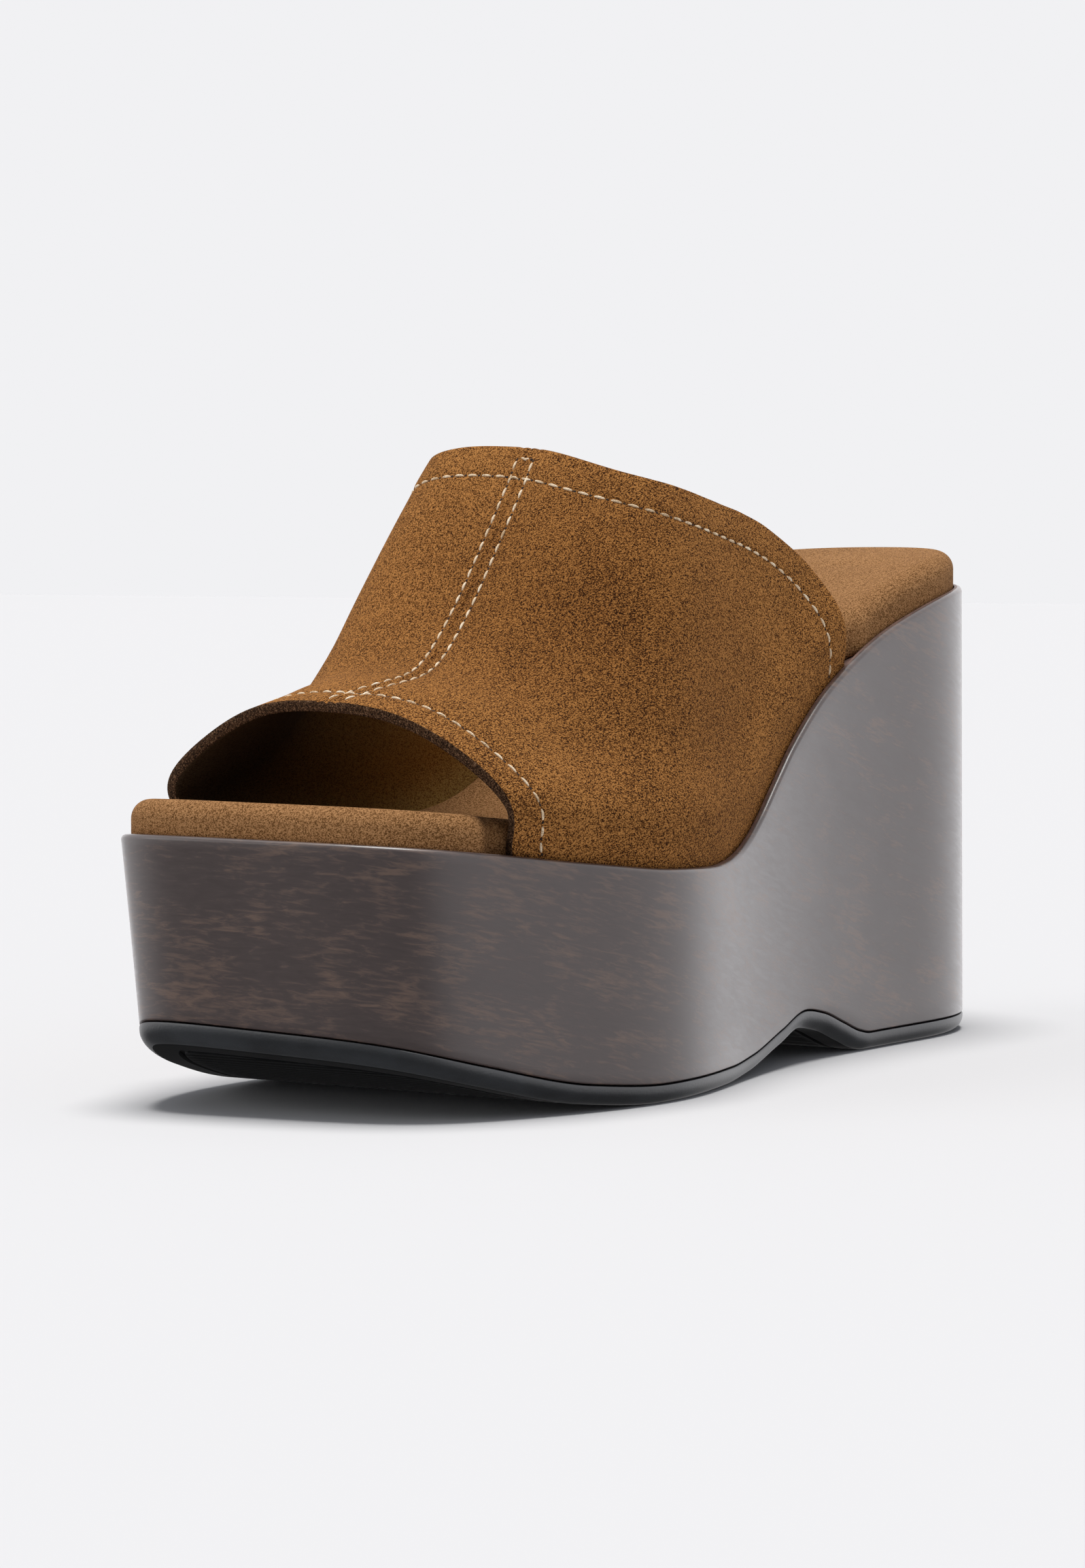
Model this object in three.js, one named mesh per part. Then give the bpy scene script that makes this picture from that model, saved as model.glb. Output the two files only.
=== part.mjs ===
// An open-toed platform wedge mule for the left foot: a moulded platform wedge on a thin rubber
// outsole, a padded footbed sunk in its rim, and one broad upper that is open at the toe and collar.
// Millimetres. +X points to the toe, +Y to the outer side of the foot, +Z up from the floor.
import * as THREE from "three";

// Footprint of the wedge's rim
const LENGTH = 243; // back of the heel to the tip of the toe
const BALL_WIDTH = 92;
const HEEL_WIDTH = 64.5;

// Heights from the floor
const RIM_HEIGHT_HEEL = 96.5; // at a heel share of 1
const RIM_HEIGHT_PLATFORM = 44.6; // lowest place of the rim, just behind the ball of the foot
const RIM_LIFT_TOE = 8.8; // how much higher the rim is again at the toe
const ARCH_HEIGHT = 7.2; // floor to the outsole under the arch
const TOE_SPRING = 15.3; // floor to the outsole at the tip of the toe
const HEEL_LIFT = 0.6; // floor to the outsole at the very back

// Outsole
const SOLE_THICKNESS = 3.7;
const SOLE_EDGE_RADIUS = 3;
const TREAD_BORDER = 7.5; // smooth border round the tread panel
const TREAD_GROOVE_WIDTH = 1.4;
const TREAD_GROOVE_DEPTH = 0.8;
const TREAD_GROOVE_DRAFT = 0.3; // how much each side of the groove leans

// Wedge
const LIP_WIDTH = 1.6; // rim left standing round the tray that holds footbed and upper
const LIP_RADIUS = 1;
const TRAY_DEPTH = 1.5;
const TOE_UNDERCUT = 4; // how far the front face leans in at its foot
const HEEL_FLARE = 0.9; // how far the back leans out at its foot

// Footbed
const FOOTBED_RISE_HEEL = 8; // above the rim
const FOOTBED_RISE_TOE = 7;
const FOOTBED_EDGE_RADIUS = 4;
const FOOTBED_DISH = 1.2; // how far the middle lies under the edge's crown

// Upper
const WALL = 2.2;
const CROWN_HEIGHT = 96; // tallest section of the last, above the rim
const SIDE_BULGE = 5; // how far the sides swell out past the rim beside the toe opening
const BULGE_HEIGHT = 26; // height over which they swell out and come back
const BULGE_SKEW = 0.75; // below 1 the swelling is fullest low on the side
const CLEARANCE = 0.3; // left between pieces that touch

// Mesh fineness
const STEPS_PER_OUTLINE_POINT = 8;
const STEPS_ACROSS = 4;
const STEPS_ALONG_UPPER = 20;
const STEPS_ROUND_UPPER = 40;

// Closed outline of the rim from the back of the heel round the outer side to the toe and home again
// by the inner side: control points of a closed cubic B-spline.
// along: share of LENGTH. ball, heel: shares of BALL_WIDTH and HEEL_WIDTH that add up to the offset.
const OUTLINE = [
  { along: -0.006, ball: 0, heel: 0.015 },
  { along: 0.011, ball: 0, heel: 0.327 },
  { along: 0.099, ball: 0, heel: 0.502 },
  { along: 0.204, ball: 0, heel: 0.498 },
  { along: 0.375, ball: 0.165, heel: 0.28 },
  { along: 0.54, ball: 0.37, heel: 0.103 },
  { along: 0.678, ball: 0.566, heel: 0 },
  { along: 0.835, ball: 0.468, heel: 0 },
  { along: 0.966, ball: 0.35, heel: 0 },
  { along: 0.986, ball: -0.028, heel: 0 },
  { along: 1.017, ball: -0.359, heel: 0 },
  { along: 0.875, ball: -0.46, heel: 0 },
  { along: 0.788, ball: -0.472, heel: 0 },
  { along: 0.587, ball: -0.382, heel: -0.116 },
  { along: 0.398, ball: -0.145, heel: -0.26 },
  { along: 0.193, ball: 0, heel: -0.506 },
  { along: 0.091, ball: 0, heel: -0.501 },
  { along: 0.011, ball: 0, heel: -0.305 },
];

// Height of the rim above its lowest place.
// heel: share of the heel's extra height. toe: share of RIM_LIFT_TOE.
const RIM = [
  { along: 0, heel: 1.055, toe: 0 },
  { along: 0.1, heel: 1.012, toe: 0 },
  { along: 0.217, heel: 0.885, toe: 0 },
  { along: 0.336, heel: 0.653, toe: 0 },
  { along: 0.415, heel: 0.422, toe: 0 },
  { along: 0.455, heel: 0.28, toe: 0 },
  { along: 0.494, heel: 0.148, toe: 0 },
  { along: 0.525, heel: 0.072, toe: 0 },
  { along: 0.553, heel: 0.03, toe: 0 },
  { along: 0.58, heel: 0.009, toe: 0 },
  { along: 0.612, heel: 0, toe: 0 },
  { along: 0.691, heel: 0, toe: 0.07 },
  { along: 0.79, heel: 0, toe: 0.33 },
  { along: 0.889, heel: 0, toe: 0.66 },
  { along: 1, heel: 0, toe: 1 },
];

// Height of the outsole's underside above the floor, flat under the heel and under the ball.
const GROUND = [
  { along: 0, heel: 1, arch: 0, toe: 0 },
  { along: 0.05, heel: 0, arch: 0, toe: 0 },
  { along: 0.265, heel: 0, arch: 0, toe: 0 },
  { along: 0.285, heel: 0, arch: 0.1, toe: 0 },
  { along: 0.316, heel: 0, arch: 0.43, toe: 0 },
  { along: 0.356, heel: 0, arch: 0.84, toe: 0 },
  { along: 0.392, heel: 0, arch: 1, toe: 0 },
  { along: 0.444, heel: 0, arch: 0.6, toe: 0 },
  { along: 0.514, heel: 0, arch: 0.13, toe: 0 },
  { along: 0.57, heel: 0, arch: 0, toe: 0 },
  { along: 0.7, heel: 0, arch: 0, toe: 0 },
  { along: 0.79, heel: 0, arch: 0, toe: 0.1 },
  { along: 0.889, heel: 0, arch: 0, toe: 0.44 },
  { along: 1, heel: 0, arch: 0, toe: 1 },
];

// How far the foot of the wedge's side stands inside its rim, as shares of undercut and flare.
const SIDE_LEAN = [
  { along: 0, flare: 1, undercut: 0 },
  { along: 0.2, flare: 0, undercut: 0 },
  { along: 0.75, flare: 0, undercut: 0 },
  { along: 0.875, flare: 0, undercut: 0.25 },
  { along: 1, flare: 0, undercut: 1 },
];

// Sections of the last from the back of the collar to the toe opening, evenly spaced: control values
// of cubic B-splines. crown: height above the rim as a share of CROWN_HEIGHT. ridge: sideways place
// of the crown as a share of BALL_WIDTH. outer, inner: how full each side is, 2 being an ellipse and
// more a square shoulder. outerBulge, innerBulge: how far each side swells past the rim, in shares of
// SIDE_BULGE.
const LAST = [
  { along: 0.3, crown: 0.633, ridge: -0.174, outer: 2.2, inner: 4.8, outerBulge: 0.3, innerBulge: 0 },
  { along: 0.375, crown: 0.823, ridge: -0.135, outer: 2.1, inner: 4.7, outerBulge: 0.25, innerBulge: 0.06 },
  { along: 0.45, crown: 0.993, ridge: -0.093, outer: 2.1, inner: 4.5, outerBulge: 0.25, innerBulge: 0.15 },
  { along: 0.525, crown: 1.024, ridge: -0.044, outer: 2.3, inner: 4.15, outerBulge: 0.31, innerBulge: 0.3 },
  { along: 0.6, crown: 0.884, ridge: 0.007, outer: 2.4, inner: 3.7, outerBulge: 0.41, innerBulge: 0.49 },
  { along: 0.675, crown: 0.62, ridge: 0.007, outer: 2.2, inner: 3.2, outerBulge: 0.54, innerBulge: 0.72 },
  { along: 0.75, crown: 0.405, ridge: 0.023, outer: 2.1, inner: 2.6, outerBulge: 0.69, innerBulge: 1 },
  { along: 0.825, crown: 0.357, ridge: 0.081, outer: 2.35, inner: 2.35, outerBulge: 0.86, innerBulge: 1.29 },
  { along: 0.9, crown: 0.28, ridge: 0, outer: 2.5, inner: 2.45, outerBulge: 1.05, innerBulge: 1.59 },
];

// The two open edges of the upper, in shares of LENGTH, from its outer foot over the top to its inner
// foot, evenly spaced: control values of cubic B-splines.
const UPPER_EDGES = [
  { around: 0, collar: 0.303, toe: 0.86 },
  { around: 0.125, collar: 0.319, toe: 0.884 },
  { around: 0.25, collar: 0.563, toe: 0.893 },
  { around: 0.375, collar: 0.611, toe: 0.897 },
  { around: 0.5, collar: 0.601, toe: 0.894 },
  { around: 0.625, collar: 0.601, toe: 0.885 },
  { around: 0.75, collar: 0.583, toe: 0.872 },
  { around: 0.875, collar: 0.429, toe: 0.854 },
  { around: 1, collar: 0.321, toe: 0.828 },
];

// Value of one column of a table at a place between its rows: a smooth cubic through the rows.
function lookUp(table, place, column) {
  const last = table.length - 1;
  let row = 0;
  while (row < last - 1 && place > table[row + 1].along) row += 1;
  const span = (i) => table[i + 1].along - table[i].along;
  const slope = (i) => (table[i + 1][column] - table[i][column]) / span(i);
  const tangent = (i) => {
    if (i === 0) return slope(0);
    if (i === last) return slope(last - 1);
    if (slope(i - 1) * slope(i) <= 0) return 0;
    return 2 / (1 / slope(i - 1) + 1 / slope(i));
  };
  const t = THREE.MathUtils.clamp((place - table[row].along) / span(row), 0, 1);
  const startWeight = 2 * t ** 3 - 3 * t ** 2 + 1;
  const startTangent = (t ** 3 - 2 * t ** 2 + t) * span(row) * tangent(row);
  const endTangent = (t ** 3 - t ** 2) * span(row) * tangent(row + 1);
  const from = table[row][column] * startWeight;
  const to = table[row + 1][column] * (1 - startWeight);
  return from + to + startTangent + endTangent;
}

// Weights of four neighbouring control values of a cubic B-spline, a share of the way from the
// second to the third.
function splineWeights(t) {
  return [
    (1 - t) ** 3 / 6,
    (3 * t ** 3 - 6 * t ** 2 + 4) / 6,
    (-3 * t ** 3 + 3 * t ** 2 + 3 * t + 1) / 6,
    t ** 3 / 6,
  ];
}

// Value of one column of an evenly spaced table of control values. The spline runs straight into the
// first row and out of the last.
function blendRows(table, place, column, key) {
  const last = table.length - 1;
  const share = (place - table[0][key]) / (table[last][key] - table[0][key]);
  const through = THREE.MathUtils.clamp(share, 0, 1) * last;
  const first = Math.min(Math.floor(through), last - 1);
  const control = (i) => {
    if (i < 0) return 2 * table[0][column] - table[1][column];
    if (i > last) return 2 * table[last][column] - table[last - 1][column];
    return table[i][column];
  };
  const weights = splineWeights(through - first);
  return weights.reduce((sum, weight, i) => sum + weight * control(first + i - 1), 0);
}

function rimHeight(x) {
  const along = x / LENGTH;
  const heel = (RIM_HEIGHT_HEEL - RIM_HEIGHT_PLATFORM) * lookUp(RIM, along, "heel");
  return RIM_HEIGHT_PLATFORM + heel + RIM_LIFT_TOE * lookUp(RIM, along, "toe");
}

function groundHeight(x) {
  const along = x / LENGTH;
  const heel = HEEL_LIFT * lookUp(GROUND, along, "heel");
  const arch = ARCH_HEIGHT * lookUp(GROUND, along, "arch");
  return heel + arch + TOE_SPRING * lookUp(GROUND, along, "toe");
}

function wedgeFootHeight(x) {
  return groundHeight(x) + SOLE_THICKNESS + CLEARANCE;
}

function sideLean(x) {
  const along = x / LENGTH;
  return TOE_UNDERCUT * lookUp(SIDE_LEAN, along, "undercut") - HEEL_FLARE * lookUp(SIDE_LEAN, along, "flare");
}

// Point of the closed B-spline outline at a share of its way round, before it is set to length.
function splinePoint(around) {
  const count = OUTLINE.length;
  const place = around * count;
  const first = Math.floor(place);
  const point = new THREE.Vector2();
  splineWeights(place - first).forEach((weight, i) => {
    const row = OUTLINE[(first + i - 1 + count) % count];
    point.x += weight * row.along * LENGTH;
    point.y += weight * (row.ball * BALL_WIDTH + row.heel * HEEL_WIDTH);
  });
  return point;
}

// The rim as evenly numbered points with their outward normals. The first is at the back of the
// heel, the middle one at the toe, and points i and count - i face each other across the shoe.
function makeRim() {
  const count = OUTLINE.length * STEPS_PER_OUTLINE_POINT;
  const raw = [];
  for (let i = 0; i < count; i += 1) raw.push(splinePoint(i / count));
  const back = Math.min(...raw.map((p) => p.x));
  const front = Math.max(...raw.map((p) => p.x));
  const points = raw.map((p) => new THREE.Vector2(((p.x - back) * LENGTH) / (front - back), p.y));
  return points.map((point, i) => {
    const next = points[(i + 1) % count];
    const previous = points[(i - 1 + count) % count];
    const normal = new THREE.Vector2(previous.y - next.y, next.x - previous.x).normalize();
    return { point, normal };
  });
}

const rim = makeRim();

// Line that the outside of the upper's foot follows, just inside the lip of the tray.
const upperFoot = rim.map(({ point, normal }) => {
  return point.clone().addScaledVector(normal, -LIP_WIDTH - CLEARANCE);
});

// Sideways place of that line on one side (+1 outer, -1 inner) at a distance from the heel.
function upperFootOffset(x, side) {
  const count = upperFoot.length;
  const at = (i) => upperFoot[side > 0 ? i : (count - i) % count];
  let i = 0;
  while (i < count / 2 - 1 && at(i + 1).x < x) i += 1;
  const share = (x - at(i).x) / (at(i + 1).x - at(i).x);
  return THREE.MathUtils.lerp(at(i).y, at(i + 1).y, share);
}

// A closed skin that is built from rings and strips of shared vertices.
class Skin {
  constructor() {
    this.positions = [];
    this.triangles = [];
  }

  vertex(x, y, z) {
    this.positions.push(x, y, z);
    return this.positions.length / 3 - 1;
  }

  quad(a, b, c, d) {
    this.triangles.push(a, b, c, a, c, d);
  }

  // A ring that follows the rim, moved inwards, at the height that a function of x gives.
  ring(inset, height) {
    return rim.map(({ point, normal }, i) => {
      const move = typeof inset === "function" ? inset(point, i) : inset;
      const x = point.x - normal.x * move;
      const y = point.y - normal.y * move;
      return this.vertex(x, y, height(x, y));
    });
  }

  // Joins two rings, the second one further along from the underside round the edge to the top.
  band(first, second) {
    first.forEach((a, i) => {
      const next = (i + 1) % first.length;
      this.quad(a, second[i], second[next], first[next]);
    });
  }

  bands(rings) {
    rings.slice(1).forEach((ring, i) => this.band(rings[i], ring));
  }

  // Closes a ring with rungs from the outer side to the inner side.
  cap(ring, height, facingUp) {
    const half = ring.length / 2;
    const corner = (index) => new THREE.Vector3().fromArray(this.positions, index * 3);
    const rungs = [];
    for (let i = 1; i < half; i += 1) {
      const from = corner(ring[i]);
      const to = corner(ring[ring.length - i]);
      const rung = [ring[i]];
      for (let step = 1; step < STEPS_ACROSS; step += 1) {
        const p = from.clone().lerp(to, step / STEPS_ACROSS);
        rung.push(this.vertex(p.x, p.y, height(p.x, p.y, step / STEPS_ACROSS)));
      }
      rung.push(ring[ring.length - i]);
      rungs.push(rung);
    }
    const tri = (a, b, c) => this.triangles.push(...(facingUp ? [a, c, b] : [a, b, c]));
    for (let step = 0; step < STEPS_ACROSS; step += 1) {
      tri(ring[0], rungs[0][step], rungs[0][step + 1]);
      tri(ring[half], rungs[half - 2][step + 1], rungs[half - 2][step]);
    }
    for (let i = 0; i + 1 < rungs.length; i += 1) {
      for (let step = 0; step < STEPS_ACROSS; step += 1) {
        const a = rungs[i][step];
        const b = rungs[i + 1][step];
        const c = rungs[i + 1][step + 1];
        const d = rungs[i][step + 1];
        tri(a, b, c);
        tri(a, c, d);
      }
    }
  }

  mesh(name, colour, roughness) {
    const geometry = new THREE.BufferGeometry();
    geometry.setAttribute("position", new THREE.Float32BufferAttribute(this.positions, 3));
    geometry.setIndex(this.triangles);
    geometry.computeVertexNormals();
    const material = new THREE.MeshStandardMaterial({ color: colour, roughness, metalness: 0 });
    const mesh = new THREE.Mesh(geometry, material);
    mesh.name = name;
    return mesh;
  }
}

// Points round a quarter circle of an edge. depth runs from the radius to 0, rise from 0 to the radius.
function roundedEdge(radius, steps) {
  return Array.from({ length: steps + 1 }, (_, i) => {
    const angle = (Math.PI / 2) * (i / steps);
    return { depth: radius * (1 - Math.sin(angle)), rise: radius * (1 - Math.cos(angle)) };
  });
}

// The thin rubber outsole, with a rounded lower edge and a groove round the tread panel.
function makeOutsole() {
  const skin = new Skin();
  const top = (x) => groundHeight(x) + SOLE_THICKNESS;
  const ringAt = (depth, rise) => {
    return skin.ring((point) => sideLean(point.x) + depth, (x) => groundHeight(x) + rise);
  };
  const grooveInner = TREAD_BORDER + TREAD_GROOVE_WIDTH;
  const panel = ringAt(grooveInner, 0);
  const rings = [
    panel,
    ringAt(grooveInner - TREAD_GROOVE_DRAFT, TREAD_GROOVE_DEPTH),
    ringAt(TREAD_BORDER + TREAD_GROOVE_DRAFT, TREAD_GROOVE_DEPTH),
    ringAt(TREAD_BORDER, 0),
    ...roundedEdge(SOLE_EDGE_RADIUS, 2).map(({ depth, rise }) => ringAt(depth, rise)),
    ringAt(0, SOLE_THICKNESS),
  ];
  skin.bands(rings);
  skin.cap(panel, groundHeight, false);
  skin.cap(rings.at(-1), top, true);
  return skin.mesh("outsole", 0x1b1e21, 0.6);
}

// The moulded platform wedge: full height at the heel, hollowed on top into a shallow tray.
function makeWedge() {
  const skin = new Skin();
  const tray = (x) => rimHeight(x) - TRAY_DEPTH;
  const foot = skin.ring((point) => sideLean(point.x), wedgeFootHeight);
  const rings = [
    foot,
    ...roundedEdge(LIP_RADIUS, 2).map(({ depth, rise }) => skin.ring(rise, (x) => rimHeight(x) - depth)),
    skin.ring(LIP_WIDTH, rimHeight),
    skin.ring(LIP_WIDTH, tray),
  ];
  skin.bands(rings);
  skin.cap(foot, wedgeFootHeight, false);
  skin.cap(rings.at(-1), tray, true);
  return skin.mesh("wedge", 0x4a3c38, 0.35);
}

// How much of the upper's foot stands beside a rim point: 0 clear of it, 1 alongside.
function besideUpper(point) {
  const last = UPPER_EDGES.length - 1;
  const row = UPPER_EDGES[point.y > 0 ? 0 : last];
  const blend = WALL * 2;
  const fromCollar = (point.x - (row.collar * LENGTH - 2 * blend)) / blend;
  const fromToe = (row.toe * LENGTH + 2 * blend - point.x) / blend;
  return THREE.MathUtils.smoothstep(Math.min(fromCollar, fromToe), 0, 1);
}

// The padded footbed: it sits in the tray and narrows where the upper passes down beside it.
function makeFootbed() {
  const skin = new Skin();
  const edge = (depth) => (point) => {
    return LIP_WIDTH + CLEARANCE + besideUpper(point) * (WALL + CLEARANCE) + depth;
  };
  const under = (x) => rimHeight(x) - TRAY_DEPTH + CLEARANCE;
  const rise = (x) => THREE.MathUtils.lerp(FOOTBED_RISE_HEEL, FOOTBED_RISE_TOE, x / LENGTH);
  const crown = (x) => rimHeight(x) + rise(x);
  const seat = skin.ring(edge(0), under);
  const shoulder = roundedEdge(FOOTBED_EDGE_RADIUS, 3).map(({ depth, rise: inwards }) => {
    return skin.ring(edge(inwards), (x) => crown(x) - depth);
  });
  skin.bands([seat, ...shoulder]);
  const dished = (x, y, across) => crown(x) - FOOTBED_DISH * Math.sin(Math.PI * across);
  skin.cap(seat, under, false);
  skin.cap(shoulder.at(-1), dished, true);
  return skin.mesh("footbed", 0x8a6238, 0.95);
}

function upperFootHeight(x) {
  return rimHeight(x) - TRAY_DEPTH + CLEARANCE;
}

// Outer surface of the upper. along: 0 at the collar to 1 at the toe opening.
// around: 0 at the outer foot, over the crown, to 1 at the inner foot.
function upperPoint(along, around) {
  const collar = blendRows(UPPER_EDGES, around, "collar", "around");
  const toe = blendRows(UPPER_EDGES, around, "toe", "around");
  const share = THREE.MathUtils.lerp(collar, toe, along);
  const x = share * LENGTH;
  const last = (column) => blendRows(LAST, share, column, "along");
  const side = around <= 0.5 ? 1 : -1;
  const angle = Math.PI * around;
  const fullness = last(side > 0 ? "outer" : "inner");
  const cosine = Math.abs(Math.cos(angle));
  const sine = Math.sin(angle);
  const radius = (cosine ** fullness + sine ** fullness) ** (-1 / fullness);
  const height = CROWN_HEIGHT * last("crown") + TRAY_DEPTH - CLEARANCE;
  const ridge = BALL_WIDTH * last("ridge");
  const rise = height * radius * sine;
  const swell = SIDE_BULGE * last(side > 0 ? "outerBulge" : "innerBulge");
  const overRim = THREE.MathUtils.clamp((rise - TRAY_DEPTH) / BULGE_HEIGHT, 0, 1);
  const bulge = swell * Math.sin(Math.PI * overRim ** BULGE_SKEW) ** 2;
  const y = ridge + (upperFootOffset(x, side) - ridge) * radius * cosine + side * bulge;
  return new THREE.Vector3(x, y, upperFootHeight(x) + rise);
}

// The same place on the lining side, one wall thickness in from the outer surface.
function liningPoint(along, around) {
  const step = 0.01;
  const ahead = upperPoint(Math.min(along + step, 1), around);
  const behind = upperPoint(Math.max(along - step, 0), around);
  const after = upperPoint(along, Math.min(around + step, 1));
  const before = upperPoint(along, Math.max(around - step, 0));
  const inward = ahead.sub(behind).cross(after.sub(before));
  const atFoot = around === 0 || around === 1;
  if (atFoot) inward.z = 0;
  const point = upperPoint(along, around).addScaledVector(inward.normalize(), WALL);
  if (atFoot) point.z = upperFootHeight(point.x);
  return point;
}

// Spaces an even share of the way round so that steps are half as long at both feet.
function crowdEnds(share) {
  return share - Math.sin(2 * Math.PI * share) / (4 * Math.PI);
}

// The upper: one wall from the collar to the toe opening, open underneath over the footbed.
function makeUpper() {
  const skin = new Skin();
  const rows = { outside: [], lining: [] };
  for (let i = 0; i <= STEPS_ALONG_UPPER; i += 1) {
    const along = i / STEPS_ALONG_UPPER;
    rows.outside.push([]);
    rows.lining.push([]);
    for (let j = 0; j <= STEPS_ROUND_UPPER; j += 1) {
      const around = crowdEnds(j / STEPS_ROUND_UPPER);
      rows.outside[i].push(skin.vertex(...upperPoint(along, around).toArray()));
      rows.lining[i].push(skin.vertex(...liningPoint(along, around).toArray()));
    }
  }
  const { outside, lining } = rows;
  for (let i = 0; i < STEPS_ALONG_UPPER; i += 1) {
    for (let j = 0; j < STEPS_ROUND_UPPER; j += 1) {
      skin.quad(outside[i][j], outside[i][j + 1], outside[i + 1][j + 1], outside[i + 1][j]);
      skin.quad(lining[i][j], lining[i + 1][j], lining[i + 1][j + 1], lining[i][j + 1]);
    }
    const j = STEPS_ROUND_UPPER;
    skin.quad(outside[i][0], outside[i + 1][0], lining[i + 1][0], lining[i][0]);
    skin.quad(outside[i][j], lining[i][j], lining[i + 1][j], outside[i + 1][j]);
  }
  for (let j = 0; j < STEPS_ROUND_UPPER; j += 1) {
    const i = STEPS_ALONG_UPPER;
    skin.quad(outside[0][j], lining[0][j], lining[0][j + 1], outside[0][j + 1]);
    skin.quad(outside[i][j], outside[i][j + 1], lining[i][j + 1], lining[i][j]);
  }
  return skin.mesh("upper", 0x8a5a2b, 0.95);
}

// The whole shoe, moved so that its origin is on the floor under the middle of its box.
const shoe = new THREE.Group();
shoe.add(makeOutsole(), makeWedge(), makeFootbed(), makeUpper());
const box = new THREE.Box3().setFromObject(shoe);
const middle = box.getCenter(new THREE.Vector3());
shoe.position.set(-middle.x, -middle.y, -box.min.z);

export default shoe;
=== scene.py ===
"""An open-toed platform wedge mule for the left foot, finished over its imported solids.

Metres, in the frame of the solids: +X points to the toe, +Y to the outer side of the foot and
+Z up from the floor. Shapes are worked out on the last, whose X runs from the back of the heel.
"""

import bmesh
import bpy
import numpy as np
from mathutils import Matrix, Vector


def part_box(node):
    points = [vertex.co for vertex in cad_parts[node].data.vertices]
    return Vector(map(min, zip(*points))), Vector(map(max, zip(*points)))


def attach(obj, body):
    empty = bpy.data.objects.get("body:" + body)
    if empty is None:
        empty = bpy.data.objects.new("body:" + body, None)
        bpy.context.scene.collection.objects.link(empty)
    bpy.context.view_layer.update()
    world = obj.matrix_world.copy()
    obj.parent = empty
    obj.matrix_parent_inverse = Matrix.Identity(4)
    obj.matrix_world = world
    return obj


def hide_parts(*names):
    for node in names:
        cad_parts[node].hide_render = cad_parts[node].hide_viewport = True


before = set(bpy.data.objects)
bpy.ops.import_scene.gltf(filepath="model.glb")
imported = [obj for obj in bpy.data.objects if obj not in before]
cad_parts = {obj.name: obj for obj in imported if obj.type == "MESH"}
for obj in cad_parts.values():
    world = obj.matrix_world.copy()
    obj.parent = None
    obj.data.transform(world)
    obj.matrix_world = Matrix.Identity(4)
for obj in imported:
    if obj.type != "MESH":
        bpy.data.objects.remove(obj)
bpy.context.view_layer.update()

# Outsole
# A thin sheet of black rubber, moulded with a rounded lower edge and one groove round its tread.
# It is cemented under the wedge and follows it from the heel over the arch to the sprung toe.
LENGTH = 0.243
BALL_WIDTH = 0.092
HEEL_WIDTH = 0.0645
ARCH_HEIGHT = 0.0072
TOE_SPRING = 0.0153
HEEL_LIFT = 0.0006
TOE_UNDERCUT = 0.004
HEEL_FLARE = 0.0009
SOLE_THICKNESS = 0.0037
SOLE_EDGE_RADIUS = 0.003
SOLE_TOP_RADIUS = 0.0003
TREAD_BORDER = 0.0075
TREAD_GROOVE_WIDTH = 0.0014
TREAD_GROOVE_DEPTH = 0.0008
TREAD_GROOVE_DRAFT = 0.0003
TREAD_RIB_PITCH = 0.0026
TREAD_RIB_DEPTH = 0.00035
TREAD_RIB_FADE = 8
SOLE_SHARP_ANGLE = 38
RUBBER_COLOUR = (0.015, 0.017, 0.02, 1)
RUBBER_SHEEN_COLOUR = (0.028, 0.032, 0.037, 1)
TREAD_COLOUR = (0.003, 0.0034, 0.0038, 1)
TREAD_DUST_COLOUR = (0.0065, 0.0072, 0.008, 1)
STEPS_ROUND = 720
STEPS_ACROSS_TREAD = 64
STEPS_ACROSS_HIDDEN = 12
STEPS_SMALL_EDGE = 3
STEPS_SOLE_BORDER = 4
STEPS_SOLE_EDGE = 10
WELD_DISTANCE = 2e-6
SHORTEST_EDGE = 1e-7

# Footprint of the rim from the back of the heel round the outer side to the toe and back.
OUTLINE = {
    "along": (-0.006, 0.011, 0.099, 0.204, 0.375, 0.54, 0.678, 0.835, 0.966,
              0.986, 1.017, 0.875, 0.788, 0.587, 0.398, 0.193, 0.091, 0.011),
    "ball": (0, 0, 0, 0, 0.165, 0.37, 0.566, 0.468, 0.35,
             -0.028, -0.359, -0.46, -0.472, -0.382, -0.145, 0, 0, 0),
    "heel": (0.015, 0.327, 0.502, 0.498, 0.28, 0.103, 0, 0, 0,
             0, 0, 0, 0, -0.116, -0.26, -0.506, -0.501, -0.305),
}
# Height of the sole's underside over the floor.
GROUND = {
    "along": (0, 0.05, 0.265, 0.285, 0.316, 0.356, 0.392, 0.444, 0.514, 0.57, 0.7, 0.79, 0.889, 1),
    "heel": (1, 0, 0, 0, 0, 0, 0, 0, 0, 0, 0, 0, 0, 0),
    "arch": (0, 0, 0, 0.1, 0.43, 0.84, 1, 0.6, 0.13, 0, 0, 0, 0, 0),
    "toe": (0, 0, 0, 0, 0, 0, 0, 0, 0, 0, 0, 0.1, 0.44, 1),
}
# How far the foot of the side stands inside the rim.
SIDE_LEAN = {
    "along": (0, 0.2, 0.75, 0.875, 1),
    "flare": (1, 0, 0, 0, 0),
    "undercut": (0, 0, 0, 0.25, 1),
}


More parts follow.
